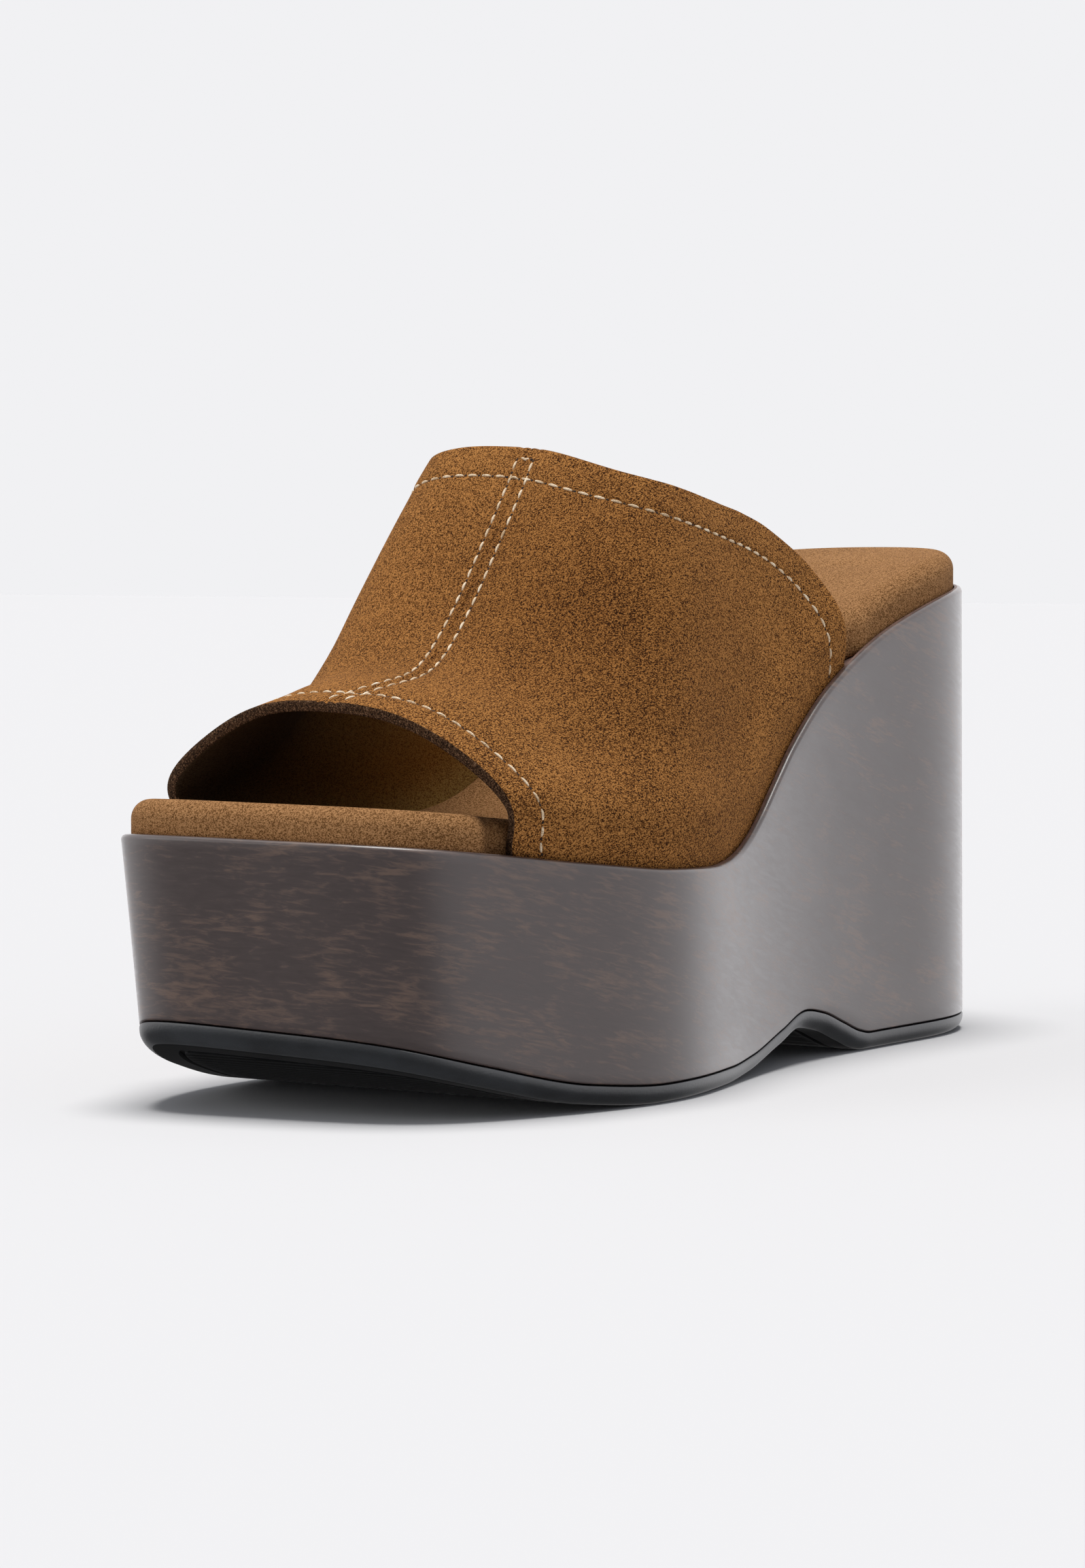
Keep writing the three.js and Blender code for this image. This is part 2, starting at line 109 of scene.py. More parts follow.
def look_up(table, place, column):
    """Smooth cubic through the rows of a table: Hermite pieces whose inner tangents are the
    harmonic mean of the slopes on either side, or 0 where those slopes differ in sign."""
    at = np.array(table["along"], float)
    value = np.array(table[column], float)
    gap = np.diff(at)
    slope = np.diff(value) / gap
    before = slope[:-1]
    after = slope[1:]
    same = before * after > 0
    inner = 2 / (1 / np.where(same, before, 1) + 1 / np.where(same, after, 1))
    tangent = np.concatenate([slope[:1], np.where(same, inner, 0), slope[-1:]])
    row = np.clip(np.searchsorted(at, place) - 1, 0, len(gap) - 1)
    t = np.clip((place - at[row]) / gap[row], 0, 1)
    start = 2 * t**3 - 3 * t**2 + 1
    leave = (t**3 - 2 * t**2 + t) * gap[row] * tangent[row]
    arrive = (t**3 - t**2) * gap[row] * tangent[row + 1]
    return value[row] * start + value[row + 1] * (1 - start) + leave + arrive


def spline_weights(t):
    """Weights of four neighbouring control values of a cubic B-spline, a share t of the way from
    the second to the third: (1-t)^3/6, (3t^3-6t^2+4)/6, (-3t^3+3t^2+3t+1)/6 and t^3/6."""
    return (
        (1 - t) ** 3 / 6,
        (3 * t**3 - 6 * t**2 + 4) / 6,
        (-3 * t**3 + 3 * t**2 + 3 * t + 1) / 6,
        t**3 / 6,
    )


def trace_outline(count):
    """Closed cubic B-spline of the outline's control points, stretched along X to the length. A
    point's outward normal is the chord between its neighbours, turned by a quarter."""
    across = BALL_WIDTH * np.array(OUTLINE["ball"]) + HEEL_WIDTH * np.array(OUTLINE["heel"])
    control = np.stack([LENGTH * np.array(OUTLINE["along"]), across], axis=-1)
    place = np.arange(count) / count * len(control)
    first = place.astype(int)
    weights = spline_weights((place - first)[:, None])
    points = sum(w * control[(first + i - 1) % len(control)] for i, w in enumerate(weights))
    points[:, 0] = (points[:, 0] - points[:, 0].min()) * LENGTH / np.ptp(points[:, 0])
    chord = np.roll(points, -1, axis=0) - np.roll(points, 1, axis=0)
    normals = np.stack([-chord[:, 1], chord[:, 0]], axis=-1)
    return points, normals / np.linalg.norm(normals, axis=1, keepdims=True)


rim_points, rim_normals = trace_outline(STEPS_ROUND)
wedge_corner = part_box("wedge")[1]
LAST_ORIGIN = np.array([wedge_corner.x - LENGTH, wedge_corner.y - rim_points[:, 1].max(), 0])


def ground_height(x):
    """Underside of the sole: heel lift, arch and toe spring, each times its share at x."""
    along = x / LENGTH
    arch = ARCH_HEIGHT * look_up(GROUND, along, "arch")
    return HEEL_LIFT * look_up(GROUND, along, "heel") + arch + TOE_SPRING * look_up(GROUND, along, "toe")


def side_lean(x):
    """How far the side's foot stands inside the rim: undercut at the toe less flare at the heel."""
    along = x / LENGTH
    flare = HEEL_FLARE * look_up(SIDE_LEAN, along, "flare")
    return TOE_UNDERCUT * look_up(SIDE_LEAN, along, "undercut") - flare


def ring(inset, height):
    """The outline moved inwards along its normals by inset, at the height that a function of X
    gives where each point comes to lie."""
    flat = rim_points - rim_normals * np.reshape(inset, (-1, 1))
    return np.column_stack([flat, height(flat[:, 0])])


def arc(radius, steps):
    """Quarter circle of a rounded edge as pairs: how far in from the side, and how far out from
    the flat, from (radius, 0) to (0, radius)."""
    angle = np.linspace(0, np.pi / 2, steps + 1)
    return list(zip(radius * (1 - np.sin(angle)), radius * (1 - np.cos(angle))))


def lid(edge, steps, relief=None):
    """Closes a ring with rungs: row i goes straight from point i of the edge to the point that
    faces it across the shoe. relief is a height to add at each point of the grid."""
    half = len(edge) // 2
    near = edge[: half + 1]
    far = edge[(len(edge) - np.arange(half + 1)) % len(edge)]
    share = np.linspace(0, 1, steps + 1)[None, :, None]
    points = near[:, None] * (1 - share) + far[:, None] * share
    if relief is not None:
        points[..., 2] = relief(points[..., 0], points[..., 1], share[..., 0])
    return points


def add_piece(name, sheets, materials):
    """A mesh of grids of points joined in quads, merged where they meet. Each sheet is (points,
    closed, turned, material): points in rows, closed if a row's end meets its start, turned if
    the quads face the other way, and the number of its material."""
    corners = []
    quads = []
    slots = []
    count = 0
    for points, closed, turned, slot in sheets:
        rows, columns = points.shape[:2]
        index = count + np.arange(rows * columns).reshape(rows, columns)
        count += rows * columns
        if closed:
            index = np.hstack([index, index[:, :1]])
        quad = np.stack([index[:-1, :-1], index[1:, :-1], index[1:, 1:], index[:-1, 1:]], axis=-1)
        quad = quad.reshape(-1, 4)
        quads.append(quad[:, ::-1] if turned else quad)
        corners.append(points.reshape(-1, 3) + LAST_ORIGIN)
        slots.append(np.full(len(quad), slot))
    corners = np.vstack(corners)
    quads = np.vstack(quads)
    mesh = bpy.data.meshes.new(name)
    mesh.vertices.add(len(corners))
    mesh.vertices.foreach_set("co", corners.ravel())
    mesh.loops.add(quads.size)
    mesh.loops.foreach_set("vertex_index", quads.ravel())
    mesh.polygons.add(len(quads))
    mesh.polygons.foreach_set("loop_start", np.arange(0, quads.size, 4))
    mesh.polygons.foreach_set("material_index", np.concatenate(slots))
    mesh.update(calc_edges=True)
    weld(mesh)
    for material in materials:
        mesh.materials.append(material)
    piece = bpy.data.objects.new(name, mesh)
    bpy.context.scene.collection.objects.link(piece)
    return piece


def weld(mesh):
    """Merges points that lie on each other, which also closes the poles, and shades it smooth."""
    work = bmesh.new()
    work.from_mesh(mesh)
    bmesh.ops.remove_doubles(work, verts=work.verts, dist=WELD_DISTANCE)
    bmesh.ops.dissolve_degenerate(work, edges=work.edges, dist=SHORTEST_EDGE)
    work.to_mesh(mesh)
    work.free()
    mesh.shade_smooth()


def start_material(name, colour, roughness):
    """A material whose shader has one colour and roughness of its own to start from."""
    material = bpy.data.materials.new(name)
    material.use_nodes = True
    shader = material.node_tree.nodes["Principled BSDF"]
    shader.inputs["Base Color"].default_value = colour
    shader.inputs["Roughness"].default_value = roughness
    return material, shader


def add_node(owner, kind, values=None, links=None, **settings):
    """A node of a material or of the world: settings are its own, values fill its sockets and
    links join them to outputs of other nodes."""
    made = owner.node_tree.nodes.new(kind)
    for key, value in settings.items():
        setattr(made, key, value)
    for key, value in (values or {}).items():
        made.inputs[key].default_value = value
    for key, source in (links or {}).items():
        owner.node_tree.links.new(source, made.inputs[key])
    return made


def add_noise(material, vector, size, detail=2.0, roughness=0.5, distortion=0.0):
    """Noise whose blotches are about size metres wide."""
    values = {"Scale": 1 / size, "Detail": detail, "Roughness": roughness, "Distortion": distortion}
    return add_node(material, "ShaderNodeTexNoise", values, {"Vector": vector}).outputs["Fac"]


def add_ramp(owner, factor, stops):
    """Colour ramp through stops of (position, colour), in a material or in the world."""
    made = add_node(owner, "ShaderNodeValToRGB", links={"Fac": factor})
    elements = made.color_ramp.elements
    while len(elements) < len(stops):
        elements.new(0.5)
    for element, (position, colour) in zip(elements, stops):
        element.position = position
        element.color = colour
    return made.outputs["Color"]


def add_bump(material, height, depth, strength):
    """Bump of the given depth in metres."""
    values = {"Strength": strength, "Distance": depth}
    return add_node(material, "ShaderNodeBump", values, {"Height": height}).outputs["Normal"]


def mix_values(material, first, second, share):
    """first * (1 - share) + second * share, for numbers."""
    made = add_node(material, "ShaderNodeMix", {0: share}, data_type="FLOAT")
    material.node_tree.links.new(first, made.inputs[2])
    material.node_tree.links.new(second, made.inputs[3])
    return made.outputs[0]


def make_rubber(name, colour_deep, colour_pale, roughness, gloss):
    """Black rubber with a fine stipple and faint bluish clouds."""
    material, shader = start_material(name, colour_deep, roughness)
    shader.inputs["Specular IOR Level"].default_value = gloss
    place = add_node(material, "ShaderNodeTexCoord").outputs["Object"]
    clouds = add_noise(material, place, 0.012, 3)
    stipple = add_noise(material, place, 0.00045, 2)
    colour = add_ramp(material, clouds, [(0.35, colour_deep), (0.7, colour_pale)])
    links = material.node_tree.links
    links.new(colour, shader.inputs["Base Color"])
    links.new(add_bump(material, stipple, 0.00006, 0.6), shader.inputs["Normal"])
    return material


def tread_relief(x, y, across):
    """Underside of the tread: ribs across the sole, cut upwards as the fourth power of a sine,
    that fade out towards the edge of the panel as a steep half sine."""
    rib = np.sin(np.pi * x / TREAD_RIB_PITCH) ** 4
    fade = np.clip(np.sin(np.pi * across) * TREAD_RIB_FADE, 0, 1)
    return ground_height(x) + TREAD_RIB_DEPTH * rib * fade


groove_inner = TREAD_BORDER + TREAD_GROOVE_WIDTH
groove_profile = [
    (groove_inner, 0),
    (groove_inner - TREAD_GROOVE_DRAFT, TREAD_GROOVE_DEPTH),
    (TREAD_BORDER + TREAD_GROOVE_DRAFT, TREAD_GROOVE_DEPTH),
    (TREAD_BORDER, 0),
]
border_insets = np.linspace(TREAD_BORDER, SOLE_EDGE_RADIUS, STEPS_SOLE_BORDER + 1)[1:-1]
border_profile = [(inset, 0) for inset in border_insets]
edge_profile = arc(SOLE_EDGE_RADIUS, STEPS_SOLE_EDGE)
top_arc = arc(SOLE_TOP_RADIUS, STEPS_SMALL_EDGE)[::-1]
top_profile = [(inset, SOLE_THICKNESS - rise) for inset, rise in top_arc]
sole_profile = groove_profile + border_profile + edge_profile + top_profile
sole_rings = np.array([
    ring(side_lean(rim_points[:, 0]) + inset, lambda x, rise=rise: ground_height(x) + rise)
    for inset, rise in sole_profile
])
# The tread's duller rubber reaches one step up the rounded edge.
tread_rings = len(groove_profile + border_profile) + 2
outsole = add_piece(
    "outsole_rubber",
    [
        (lid(sole_rings[0], STEPS_ACROSS_TREAD, tread_relief), False, False, 1),
        (sole_rings[:tread_rings], True, False, 1),
        (sole_rings[tread_rings - 1 :], True, False, 0),
        (lid(sole_rings[-1], STEPS_ACROSS_HIDDEN), False, True, 0),
    ],
    [
        make_rubber("outsole_edge", RUBBER_COLOUR, RUBBER_SHEEN_COLOUR, 0.38, 0.7),
        make_rubber("outsole_tread", TREAD_COLOUR, TREAD_DUST_COLOUR, 0.7, 0.12),
    ],
)
outsole.data.set_sharp_from_angle(angle=np.radians(SOLE_SHARP_ANGLE))
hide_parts("outsole")
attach(outsole, "root")

# Wedge
# One moulded block with a dark wood-look film under satin lacquer, full height at the heel. Its
# rim stands a little proud as a thin lip round the shallow tray that holds footbed and upper.
RIM_HEIGHT_HEEL = 0.0965
RIM_HEIGHT_PLATFORM = 0.0446
RIM_LIFT_TOE = 0.0088
LIP_WIDTH = 0.0016
LIP_RADIUS = 0.001
TRAY_DEPTH = 0.0015
CLEARANCE = 0.0003
WEDGE_FOOT_RADIUS = 0.0003
WEDGE_SHARP_ANGLE = 50
STEPS_UP_WEDGE = 24
STEPS_LIP = 8
GRAIN_SLANT = 14
WOOD_DARK = (0.055, 0.039, 0.0365, 1)
WOOD_MIDDLE = (0.064, 0.045, 0.042, 1)
WOOD_LIGHT = (0.13, 0.082, 0.062, 1)
LIP_DARK = (0.07, 0.036, 0.028, 1)
LIP_LIGHT = (0.15, 0.082, 0.062, 1)

# Height of the rim over its lowest place.
RIM = {
    "along": (0, 0.1, 0.217, 0.336, 0.415, 0.455, 0.494, 0.525, 0.553, 0.58, 0.612,
              0.691, 0.79, 0.889, 1),
    "heel": (1.055, 1.012, 0.885, 0.653, 0.422, 0.28, 0.148, 0.072, 0.03, 0.009, 0, 0, 0, 0, 0),
    "toe": (0, 0, 0, 0, 0, 0, 0, 0, 0, 0, 0, 0.07, 0.33, 0.66, 1),
}


def rim_height(x):
    """Top of the wedge: the platform plus heel height and toe lift, each times its share at x."""
    along = x / LENGTH
    heel = (RIM_HEIGHT_HEEL - RIM_HEIGHT_PLATFORM) * look_up(RIM, along, "heel")
    return RIM_HEIGHT_PLATFORM + heel + RIM_LIFT_TOE * look_up(RIM, along, "toe")


def wedge_foot_height(x):
    """Underside of the wedge, a clearance over the outsole."""
    return ground_height(x) + SOLE_THICKNESS + CLEARANCE


def tray_height(x):
    """Floor of the tray."""
    return rim_height(x) - TRAY_DEPTH


def wedge_side(share):
    """Ring of the side at a share of the way from foot to rim: both inset and height are
    weighted between the foot's and the rim's."""

    def height(x):
        low = wedge_foot_height(x) + WEDGE_FOOT_RADIUS
        high = rim_height(x) - LIP_RADIUS
        return low * (1 - share) + high * share

    return ring(side_lean(rim_points[:, 0]) * (1 - share), height)


def make_wood():
    """Wood-look film: short level streaks in feathered patches that slant a little, under a satin
    lacquer whose gloss is slightly uneven."""
    material, shader = start_material("wedge_wood_look", WOOD_MIDDLE, 0.34)
    place = add_node(material, "ShaderNodeTexCoord").outputs["Object"]
    slant = {"Rotation": (0, np.radians(GRAIN_SLANT), 0)}
    slanted = add_node(material, "ShaderNodeMapping", slant, {"Vector": place}).outputs[0]
    long_stretch = {"Scale": (0.16, 0.16, 1)}
    long_drawn = add_node(material, "ShaderNodeMapping", long_stretch, {"Vector": slanted}).outputs[0]
    short_stretch = {"Scale": (0.5, 0.5, 1)}
    short_drawn = add_node(material, "ShaderNodeMapping", short_stretch, {"Vector": slanted}).outputs[0]
    streaks = add_noise(material, long_drawn, 0.0009, 4, 0.65, 0.6)
    patches = add_noise(material, short_drawn, 0.009, 4, 0.6, 0.6)
    figure = mix_values(material, streaks, patches, 0.42)
    colour = add_ramp(material, figure, [(0.38, WOOD_DARK), (0.51, WOOD_MIDDLE), (0.63, WOOD_LIGHT)])
    unevenness = {"From Min": 0.3, "From Max": 0.7, "To Min": 0.3, "To Max": 0.4}
    gloss = add_node(material, "ShaderNodeMapRange", unevenness, {"Value": streaks}).outputs["Result"]
    links = material.node_tree.links
    links.new(colour, shader.inputs["Base Color"])
    links.new(gloss, shader.inputs["Roughness"])
    links.new(add_bump(material, streaks, 0.00005, 0.35), shader.inputs["Normal"])
    shader.inputs["Coat Weight"].default_value = 0.35
    shader.inputs["Coat Roughness"].default_value = 0.22
    return material


def make_lip():
    """The same film where it wraps over the rim and wears warmer: fine streaks, less gloss."""
    material, shader = start_material("wedge_lip", LIP_DARK, 0.5)
    place = add_node(material, "ShaderNodeTexCoord").outputs["Object"]
    drawn = add_node(material, "ShaderNodeMapping", {"Scale": (0.15, 1, 0.3)}, {"Vector": place}).outputs[0]
    streaks = add_noise(material, drawn, 0.0006, 3, 0.6)
    colour = add_ramp(material, streaks, [(0.38, LIP_DARK), (0.6, LIP_LIGHT)])
    links = material.node_tree.links
    links.new(colour, shader.inputs["Base Color"])
    links.new(add_bump(material, streaks, 0.00004, 0.5), shader.inputs["Normal"])
    return material


foot_rings = [
    ring(side_lean(rim_points[:, 0]) + inset, lambda x, rise=rise: wedge_foot_height(x) + rise)
    for inset, rise in arc(WEDGE_FOOT_RADIUS, STEPS_SMALL_EDGE)
]
side_rings = [wedge_side(share) for share in np.linspace(0, 1, STEPS_UP_WEDGE + 1)[1:]]
lip_rings = [
    ring(inset, lambda x, drop=drop: rim_height(x) - drop)
    for inset, drop in arc(LIP_RADIUS, STEPS_LIP)[::-1][1:]
]
tray_rings = [ring(LIP_WIDTH, rim_height), ring(LIP_WIDTH, tray_height)]
wedge_rings = np.array(foot_rings + side_rings + lip_rings)
rim_rings = np.array(lip_rings[-1:] + tray_rings)
wedge = add_piece(
    "wedge_block",
    [
        (lid(wedge_rings[0], STEPS_ACROSS_HIDDEN), False, False, 0),
        (wedge_rings, True, False, 0),
        (rim_rings, True, False, 1),
        (lid(rim_rings[-1], STEPS_ACROSS_HIDDEN), False, True, 1),
    ],
    [make_wood(), make_lip()],
)
wedge.data.set_sharp_from_angle(angle=np.radians(WEDGE_SHARP_ANGLE))
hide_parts("wedge")
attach(wedge, "root")

# Footbed
# A board with a foam pad, covered in suede that is drawn down round its edge and glued into the
# tray. It is narrower where the upper passes down between the pad and the lip.
WALL = 0.0022
FOOTBED_RISE_HEEL = 0.008
FOOTBED_RISE_TOE = 0.007
FOOTBED_EDGE_RADIUS = 0.004
FOOTBED_DISH = 0.0012
FOOTBED_DISH_START = 0.03
FOOTBED_UNEVENNESS = 0.00012
FOOTBED_WAVES_ALONG = 310
FOOTBED_WAVES_ACROSS = 170
STEPS_UP_FOOTBED = 6
STEPS_FOOTBED_EDGE = 16
STEPS_ACROSS_FOOTBED = 90
SUEDE_NAP = 0.00026
SUEDE_DEPTH = 0.0004
SUEDE_STOPS = (0.395, 0.48, 0.57)
SHORT_NAP_DEPTH = 0.0002
UPPER_EDGES = {
    "around": (0, 0.125, 0.25, 0.375, 0.5, 0.625, 0.75, 0.875, 1),
    "collar": (0.303, 0.319, 0.563, 0.611, 0.601, 0.601, 0.583, 0.429, 0.321),
    "toe": (0.86, 0.884, 0.893, 0.897, 0.894, 0.885, 0.872, 0.854, 0.828),
}
FOOTBED_DARK = (0.12, 0.053, 0.0165, 1)
FOOTBED_MIDDLE = (0.262, 0.127, 0.048, 1)
FOOTBED_LIGHT = (0.42, 0.22, 0.094, 1)


def beside_upper(points):
    """How much of the upper's foot stands beside each point of the rim, from 0 to 1: a smooth
    step over two walls' thickness before the collar's foot and after the toe opening's foot."""
    outer = points[:, 1] > 0
    blend = WALL * 2
    collar = np.where(outer, UPPER_EDGES["collar"][0], UPPER_EDGES["collar"][-1]) * LENGTH
    toe = np.where(outer, UPPER_EDGES["toe"][0], UPPER_EDGES["toe"][-1]) * LENGTH
    from_collar = (points[:, 0] - collar + 2 * blend) / blend
    from_toe = (toe + 2 * blend - points[:, 0]) / blend
    t = np.clip(np.minimum(from_collar, from_toe), 0, 1)
    return t * t * (3 - 2 * t)


def footbed_crown(x):
    """Top of the pad over the rim, sinking evenly from its rise at the heel to that at the toe."""
    share = x / LENGTH
    return rim_height(x) + FOOTBED_RISE_HEEL * (1 - share) + FOOTBED_RISE_TOE * share


def footbed_top(x, y, across):
    """The trodden top: the crown less a half sine across the foot, with faint waves, both running
    out towards the pad's ends as a square."""
    waves = np.sin(x * FOOTBED_WAVES_ALONG + 2 * np.sin(y * FOOTBED_WAVES_ACROSS))
    from_ends = np.clip(np.minimum(x, LENGTH - x) / FOOTBED_DISH_START, 0, 1) ** 2
    sunk = FOOTBED_UNEVENNESS * waves - FOOTBED_DISH
    return footbed_crown(x) + sunk * np.sin(np.pi * across) * from_ends


def make_suede(name, colours, nap=SUEDE_NAP, depth=SUEDE_DEPTH, stops=SUEDE_STOPS):
    """Suede: fine upright nap that casts short dark flecks, over slow clouds of brushed and
    unbrushed pile. colours run from the shaded roots over the pile to its lit tips, nap is the
    size of a fleck and stops are the places of the colours in the ramp."""
    material, shader = start_material(name, colours[1], 0.95)
    place = add_node(material, "ShaderNodeTexCoord").outputs["Object"]
    lain = add_node(material, "ShaderNodeMapping", {"Scale": (0.7, 1, 1.05)}, {"Vector": place}).outputs[0]
    flecks = add_noise(material, lain, nap, 1, 0.5, 0.5)
    tufts = add_noise(material, lain, nap * 2.2, 1, 0.5, 0.8)
    clouds = add_noise(material, place, 0.022, 3, 0.5, 0.2)
    pile = mix_values(material, flecks, tufts, 0.25)
    tone = mix_values(material, pile, clouds, 0.09)
    colour = add_ramp(material, tone, list(zip(stops, colours)))
    links = material.node_tree.links
    links.new(colour, shader.inputs["Base Color"])
    links.new(add_bump(material, pile, depth, 1.0), shader.inputs["Normal"])
    shader.inputs["Specular IOR Level"].default_value = 0.1
    return material


def paint_shade_around(material, centre, near, far, shade):
    """Paints shade onto a material around a point: its colour is multiplied by shade up to the
    distance near, and from the distance far on it is left alone."""
    links = material.node_tree.links
    colour = material.node_tree.nodes["Principled BSDF"].inputs["Base Color"]
    made = colour.links[0].from_socket
    place = add_node(material, "ShaderNodeTexCoord").outputs["Object"]
    apart = add_node(material, "ShaderNodeVectorMath", {1: centre}, {0: place}, operation="DISTANCE")
    reach = {"From Min": near, "From Max": far}
    share = add_node(material, "ShaderNodeMapRange", reach, {"Value": apart.outputs["Value"]})
    tint = add_ramp(material, share.outputs["Result"], [(0.0, shade), (1.0, (1, 1, 1, 1))])
    product = add_node(material, "ShaderNodeMix", {0: 1.0}, data_type="RGBA", blend_type="MULTIPLY")
    links.new(made, product.inputs[6])
    links.new(tint, product.inputs[7])
    links.new(product.outputs[2], colour)
    return material


edge_inset = LIP_WIDTH + CLEARANCE + beside_upper(rim_points) * (WALL + CLEARANCE)
seat_ring = ring(edge_inset, lambda x: tray_height(x) + CLEARANCE)
shoulder_rings = [
    ring(edge_inset + inset, lambda x, drop=drop: footbed_crown(x) - drop)
    for inset, drop in arc(FOOTBED_EDGE_RADIUS, STEPS_FOOTBED_EDGE)[::-1]
]
wall_rings = [
    seat_ring * (1 - share) + shoulder_rings[0] * share
    for share in np.linspace(0, 1, STEPS_UP_FOOTBED + 1)[:-1]
]
footbed_rings = np.array(wall_rings + shoulder_rings)
footbed = add_piece(
    "footbed_pad",
    [
        (lid(footbed_rings[0], STEPS_ACROSS_HIDDEN), False, False, 0),
        (footbed_rings, True, False, 0),
        (lid(footbed_rings[-1], STEPS_ACROSS_FOOTBED, footbed_top), False, True, 0),
    ],
    [make_suede("footbed_suede", (FOOTBED_DARK, FOOTBED_MIDDLE, FOOTBED_LIGHT), depth=SHORT_NAP_DEPTH)],
)
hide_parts("footbed")
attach(footbed, "root")

# Upper
# Two halves of suede joined along the instep and lined with thin suede. The collar is folded in
# and stitched, the toe opening is cut raw, and both feet are lasted down into the tray.
CROWN_HEIGHT = 0.096
SIDE_BULGE = 0.005
BULGE_HEIGHT = 0.026
BULGE_SKEW = 0.75
SEAM_DEPTH = 0.0005
SEAM_WIDTH = 0.0004
ROW_OFFSET = 0.002
ROW_WIDTH = 0.0006
ROW_DEPTH = 0.00028
COLLAR_HEM = 0.0075
TOE_HEM = 0.0065
HEM_RAISE = 0.00025
HEM_STEP = 0.0006
CREASE_REACH = 0.03
FOOT_FADE = 0.004
CUT_EDGE_BOW = 0.00025
COLLAR_FOLD_BOW = WALL * 0.42
STEPS_ALONG_OUTSIDE = 150
STEPS_ALONG_LINING = 56
STEPS_ROUND_UPPER = 400
STEPS_CUT_EDGE = 6
STEPS_COLLAR_FOLD = 8
STEPS_FINE = 4000
UPPER_DARK = (0.03, 0.0095, 0.0018, 1)
UPPER_MIDDLE = (0.195, 0.075, 0.0175, 1)
UPPER_LIGHT = (0.49, 0.222, 0.063, 1)
LINING_DARK = (0.21, 0.105, 0.026, 1)
LINING_MIDDLE = (0.37, 0.21, 0.057, 1)
LINING_LIGHT = (0.46, 0.28, 0.083, 1)
# Painted shade inside the upper: the lining's colour is multiplied by this tint near the point below and
# fades out between the two distances after it, so the lining is darker towards the toe, where little light
# reaches in.
LINING_PAINTED_SHADE = (0.13, 0.14, 0.25, 1)
LINING_PAINTED_SHADE_CENTRE = (0.095, -0.02, 0.08)
LINING_PAINTED_SHADE_FROM = 0.04
LINING_PAINTED_SHADE_TO = 0.09
# Painted shade on the upper's outside: its colour is multiplied by this tint at the point below and fades
# out by the distance after it, which darkens the middle of the outer side.
UPPER_PAINTED_SHADE = (0.66, 0.62, 0.56, 1)
UPPER_PAINTED_SHADE_CENTRE = (0.046, 0.024, 0.092)
UPPER_PAINTED_SHADE_TO = 0.055
EDGE_DARK = (0.014, 0.0065, 0.003, 1)
EDGE_MIDDLE = (0.07, 0.034, 0.016, 1)
EDGE_LIGHT = (0.24, 0.14, 0.08, 1)
EDGE_NAP = 0.0003
EDGE_DEPTH = 0.0005
EDGE_STOPS = (0.4, 0.52, 0.68)

# Sections of the last between the back of the collar and the toe opening.
LAST = {
    "along": (0.3, 0.375, 0.45, 0.525, 0.6, 0.675, 0.75, 0.825, 0.9),
    "crown": (0.633, 0.823, 0.993, 1.024, 0.884, 0.62, 0.405, 0.357, 0.28),
    "ridge": (-0.174, -0.135, -0.093, -0.044, 0.007, 0.007, 0.023, 0.081, 0),
    "outer": (2.2, 2.1, 2.1, 2.3, 2.4, 2.2, 2.1, 2.35, 2.5),
    "inner": (4.8, 4.7, 4.5, 4.15, 3.7, 3.2, 2.6, 2.35, 2.45),
    "outer_bulge": (0.3, 0.25, 0.25, 0.31, 0.41, 0.54, 0.69, 0.86, 1.05),
    "inner_bulge": (0, 0.06, 0.15, 0.3, 0.49, 0.72, 1, 1.29, 1.59),
}
# Soft troughs (below 0) and ridges of worn-in suede: place of the middle as along and around,
# length and width in metres, turn of the length from the along direction, and depth.
CREASES = (
    (0.62, 0.64, 0.05, 0.009, 70, -0.001),
    (0.7, 0.68, 0.045, 0.008, 80, 0.0008),
    (0.66, 0.36, 0.05, 0.012, 95, -0.0008),
    (0.45, 0.86, 0.04, 0.008, 60, -0.0007),
    (0.4, 0.2, 0.06, 0.012, 110, -0.0006),
)


def blend_rows(table, place, column, key):
    """Cubic B-spline of an evenly spaced column of control values, which runs straight into the
    first row and out of the last."""
    value = np.array(table[column], float)
    before = 2 * value[:1] - value[1:2]
    after = 2 * value[-1:] - value[-2:-1]
    control = np.concatenate([before, value, after])
    start = table[key][0]
    through = np.clip((place - start) / (table[key][-1] - start), 0, 1) * (len(value) - 1)
    first = np.minimum(through.astype(int), len(value) - 2)
    return sum(w * control[first + i] for i, w in enumerate(spline_weights(through - first)))


def upper_surface(along, around):
    """Outside of the upper. around turns from the outer foot over the crown to the inner foot as
    an angle of half a turn, and a superellipse with its own fullness on each side gives the
    section: radius = (|cos|^n + sin^n)^(-1/n). A squared sine swells each side over the rim."""
    collar = blend_rows(UPPER_EDGES, around, "collar", "around")
    toe = blend_rows(UPPER_EDGES, around, "toe", "around")
    share = collar * (1 - along) + toe * along
    x = share * LENGTH

    def last(column):
        return blend_rows(LAST, share, column, "along")

    outer = around <= 0.5
    side = np.where(outer, 1, -1)
    n = np.where(outer, last("outer"), last("inner"))
    cosine = np.abs(np.cos(np.pi * around))
    sine = np.sin(np.pi * np.clip(around, 0, 1))
    radius = (cosine**n + np.clip(sine, 0, 1) ** n) ** (-1 / n)
    height = CROWN_HEIGHT * last("crown") + TRAY_DEPTH - CLEARANCE
    ridge = BALL_WIDTH * last("ridge")
    rise = height * radius * sine
    bulges = np.where(outer, last("outer_bulge"), last("inner_bulge"))
    over_rim = np.clip((rise - TRAY_DEPTH) / BULGE_HEIGHT, 0, 1)
    bulge = SIDE_BULGE * bulges * np.sin(np.pi * over_rim**BULGE_SKEW) ** 2
    y = ridge + (foot_offset(x, outer) - ridge) * radius * cosine + side * bulge
    return np.stack([x, y, tray_height(x) + CLEARANCE + rise], axis=-1)


